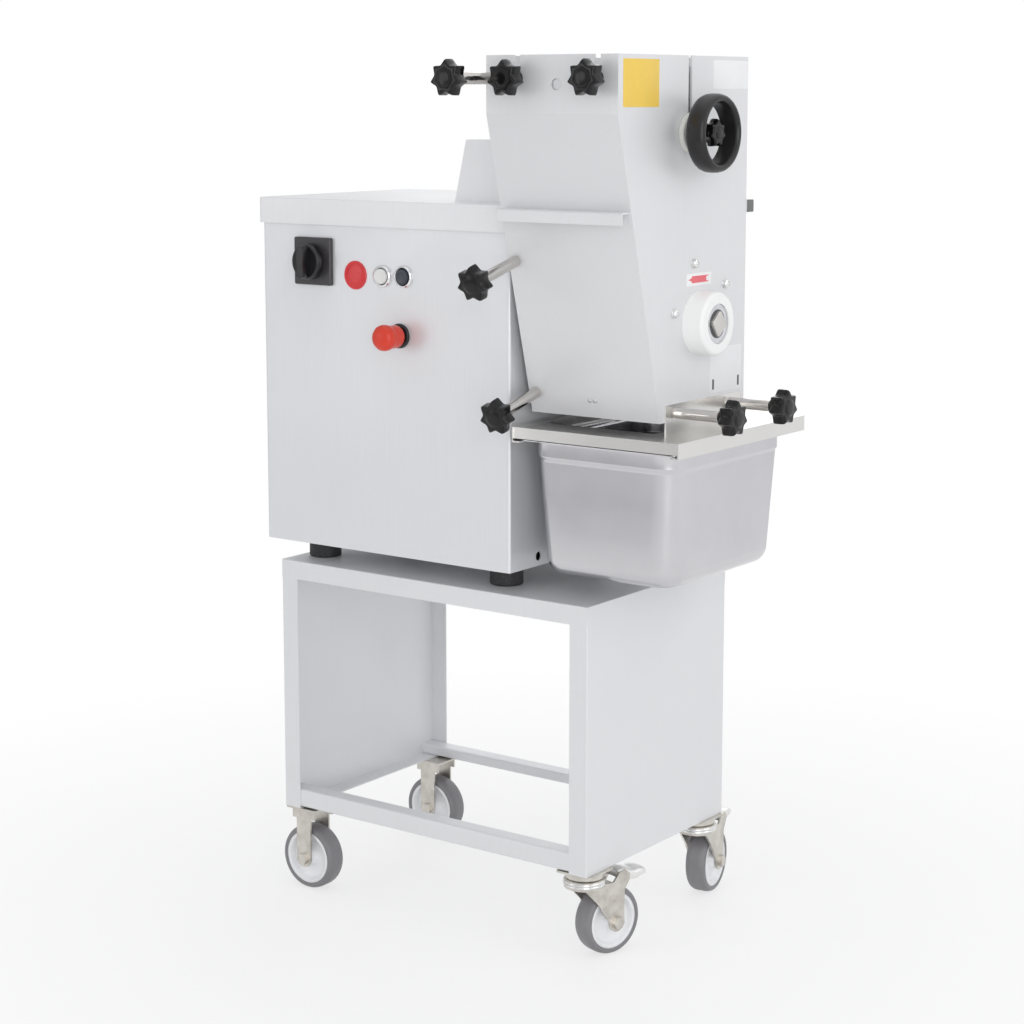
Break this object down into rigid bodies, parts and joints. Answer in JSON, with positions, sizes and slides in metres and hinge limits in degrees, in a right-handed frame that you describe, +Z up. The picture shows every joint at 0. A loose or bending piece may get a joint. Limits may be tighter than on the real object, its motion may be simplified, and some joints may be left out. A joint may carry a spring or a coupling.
{
  "type": "food slicer",
  "caption": "Floor-standing strip slicer: drive housing on a wheeled stand, side cutting head with a lift-out feed chute, counter-rotating round knives and a slide-out pan.",
  "frame": {"origin": "middle of the whole object's footprint, on the floor", "axes": "+Z up, front with the controls towards -Y, cutting head towards +X"},
  "size_m": [0.793, 0.6325, 1.2784],
  "materials": {
    "satin_sheet": "pale satin sheet metal",
    "brushed": "brushed stainless sheet",
    "head_sheet": "finely brushed stainless sheet",
    "lid_sheet": "pale satin sheet metal",
    "pan_steel": "satin pressed stainless steel",
    "carrier_steel": "polished stainless sheet",
    "zinc": "satin zinc plated pressing",
    "tyre_grey": "grey elastic tread",
    "hub_white": "white moulded nylon",
    "bearing_white": "white machined plastic",
    "black_rubber": "black rubber",
    "black_plastic": "black moulded plastic",
    "dark_plastic": "dark grey moulded plastic",
    "red_plastic": "red moulded plastic",
    "white_plastic": "white moulded plastic",
    "bezel_chrome": "bright bezel",
    "rod_steel": "turned stainless rod with a black grip",
    "knife_steel": "ground stainless steel",
    "cast": "painted casting",
    "machined": "machined steel"
  },
  "bodies": {
    "stand": {"trolley_deck": "satin_sheet", "panel_left": "satin_sheet", "panel_right": "satin_sheet", "stretcher_front": "satin_sheet", "stretcher_rear": "satin_sheet", "rigid_fork_front": "zinc", "rigid_fork_rear": "zinc", "swivel_plate_front": "zinc", "swivel_plate_rear": "zinc", "housing_body": "brushed", "housing_base": "brushed", "housing_lid": "lid_sheet", "rubber_feet": "black_rubber", "neck_cover": "lid_sheet", "switch_plate": "dark_plastic", "badge_disc": "red_plastic", "button_bezels": "bezel_chrome", "contact_blocks": "dark_plastic", "cable_gland": "dark_plastic", "gearbox": "cast", "drive_motor": "cast", "head_plate_left": "head_sheet", "head_plate_right": "head_sheet", "head_plate_back": "head_sheet", "head_front": "head_sheet", "tie_bars": "machined", "stripper_combs": "bearing_white", "bearing_hub": "bearing_white", "pan_carrier": "carrier_steel"},
    "swivel_front": {"swivel_fork_front": "zinc"},
    "swivel_rear": {"swivel_fork_rear": "zinc"},
    "pedal_front": {"brake_pedal_front": "zinc"},
    "pedal_rear": {"brake_pedal_rear": "zinc"},
    "wheel_left_front": {"wheel_hub_left_front": "hub_white", "tyre_left_front": "tyre_grey"},
    "wheel_left_rear": {"wheel_hub_left_rear": "hub_white", "tyre_left_rear": "tyre_grey"},
    "wheel_right_front": {"wheel_hub_right_front": "hub_white", "tyre_right_front": "tyre_grey"},
    "wheel_right_rear": {"wheel_hub_right_rear": "hub_white", "tyre_right_rear": "tyre_grey"},
    "switch": {"switch_knob": "black_plastic"},
    "start": {"start_button": "white_plastic"},
    "stop": {"stop_button": "black_plastic"},
    "estop": {"estop_button": "red_plastic"},
    "shaft_front": {"drive_shaft": "machined", "knife_shaft_front": "knife_steel"},
    "shaft_rear": {"knife_shaft_rear": "knife_steel"},
    "chute": {"feed_chute": "head_sheet"},
    "flap": {"flap_spindle": "machined", "handwheel": "black_plastic"},
    "flap_lock": {"spindle_knob": "black_plastic"},
    "chute_lock_left": {"chute_knob_left": "black_plastic"},
    "chute_lock_right": {"chute_knob_right": "black_plastic"},
    "clamp_top": {"clamp_knob_top": "rod_steel"},
    "clamp_middle": {"clamp_knob_middle": "rod_steel"},
    "clamp_lower": {"clamp_knob_lower": "rod_steel"},
    "carrier_lock_front": {"carrier_knob_front": "rod_steel"},
    "carrier_lock_rear": {"carrier_knob_rear": "rod_steel"},
    "pan": {"food_pan": "pan_steel"}
  },
  "joints": [
    {"name": "swivel_front_turn", "type": "hinge", "parent": "stand", "child": "swivel_front", "pos_m": [0.1705, -0.09649, 0.108], "axis": [0, 0, 1], "continuous": true},
    {"name": "wheel_right_front_spin", "type": "hinge", "parent": "swivel_front", "child": "wheel_right_front", "pos_m": [0.18186, -0.05606, 0.05], "axis": [0.9627, -0.2706, 0], "continuous": true},
    {"name": "pedal_front_press", "type": "hinge", "parent": "swivel_front", "child": "pedal_front", "pos_m": [0.18619, -0.04066, 0.118], "axis": [-0.9627, 0.2706, 0], "range_deg": [0, 12]},
    {"name": "wheel_left_front_spin", "type": "hinge", "parent": "stand", "child": "wheel_left_front", "pos_m": [-0.3405, -0.09949, 0.05], "axis": [0, 1, 0], "continuous": true},
    {"name": "swivel_rear_turn", "type": "hinge", "parent": "stand", "child": "swivel_rear", "pos_m": [0.1705, 0.20751, 0.108], "axis": [0, 0, 1], "continuous": true},
    {"name": "wheel_right_rear_spin", "type": "hinge", "parent": "swivel_rear", "child": "wheel_right_rear", "pos_m": [0.16378, 0.24896, 0.05], "axis": [0.9871, 0.1599, 0], "continuous": true},
    {"name": "pedal_rear_press", "type": "hinge", "parent": "swivel_rear", "child": "pedal_rear", "pos_m": [0.16123, 0.26476, 0.118], "axis": [-0.9871, -0.1599, 0], "range_deg": [0, 12]},
    {"name": "wheel_left_rear_spin", "type": "hinge", "parent": "stand", "child": "wheel_left_rear", "pos_m": [-0.3405, 0.21051, 0.05], "axis": [0, 1, 0], "continuous": true},
    {"name": "switch_turn", "type": "hinge", "parent": "stand", "child": "switch", "pos_m": [-0.29, -0.13649, 0.983], "axis": [0, 1, 0], "range_deg": [0, 90]},
    {"name": "start_press", "type": "slide", "parent": "stand", "child": "start", "axis": [0, 1, 0], "range_m": [0, 0.0025], "stiffness_N_per_m": 600},
    {"name": "stop_press", "type": "slide", "parent": "stand", "child": "stop", "axis": [0, 1, 0], "range_m": [0, 0.0025], "stiffness_N_per_m": 600},
    {"name": "estop_press", "type": "slide", "parent": "stand", "child": "estop", "axis": [0, 1, 0], "range_m": [0, 0.004]},
    {"name": "shaft_front_spin", "type": "hinge", "parent": "stand", "child": "shaft_front", "pos_m": [0.079, 0.00011, 0.9148], "axis": [1, 0, 0], "continuous": true},
    {"name": "shaft_rear_spin", "type": "hinge", "parent": "stand", "child": "shaft_rear", "pos_m": [0.079, 0.07006, 0.89775], "axis": [1, 0, 0], "continuous": true},
    {"name": "chute_lift", "type": "slide", "parent": "stand", "child": "chute", "axis": [0, 0, 1], "range_m": [0, 0.12]},
    {"name": "flap_turn", "type": "hinge", "parent": "chute", "child": "flap", "pos_m": [0.2915, -0.03029, 1.1749], "axis": [1, 0, 0], "range_deg": [-25, 25]},
    {"name": "flap_lock_turn", "type": "hinge", "parent": "flap", "child": "flap_lock", "pos_m": [0.3515, -0.03029, 1.1749], "axis": [1, 0, 0], "continuous": true},
    {"name": "chute_lock_left_turn", "type": "hinge", "parent": "chute", "child": "chute_lock_left", "pos_m": [0.1307, -0.20599, 1.2474], "axis": [0, -1, 0], "continuous": true},
    {"name": "chute_lock_right_turn", "type": "hinge", "parent": "chute", "child": "chute_lock_right", "pos_m": [0.2596, -0.20599, 1.2474], "axis": [0, -1, 0], "continuous": true},
    {"name": "clamp_top_turn", "type": "hinge", "parent": "stand", "child": "clamp_top", "pos_m": [0.0925, -0.20599, 1.2474], "axis": [0, -1, 0], "continuous": true},
    {"name": "clamp_middle_turn", "type": "hinge", "parent": "stand", "child": "clamp_middle", "pos_m": [0.0925, -0.15438, 1.0008], "axis": [0, -0.9683, -0.2499], "continuous": true},
    {"name": "clamp_lower_turn", "type": "hinge", "parent": "stand", "child": "clamp_lower", "pos_m": [0.0925, -0.10628, 0.8144], "axis": [0, -0.9683, -0.2499], "continuous": true},
    {"name": "carrier_lock_front_turn", "type": "hinge", "parent": "stand", "child": "carrier_lock_front", "pos_m": [0.2935, -0.06349, 0.7961], "axis": [1, 0, 0], "continuous": true},
    {"name": "carrier_lock_rear_turn", "type": "hinge", "parent": "stand", "child": "carrier_lock_rear", "pos_m": [0.2935, 0.07351, 0.7961], "axis": [1, 0, 0], "continuous": true},
    {"name": "pan_slide", "type": "slide", "parent": "stand", "child": "pan", "axis": [0, -1, 0], "range_m": [0, 0.3]}
  ],
  "couplings": [
    {"joint": "shaft_rear_spin", "follows": "shaft_front_spin", "ratio": -1}
  ]
}
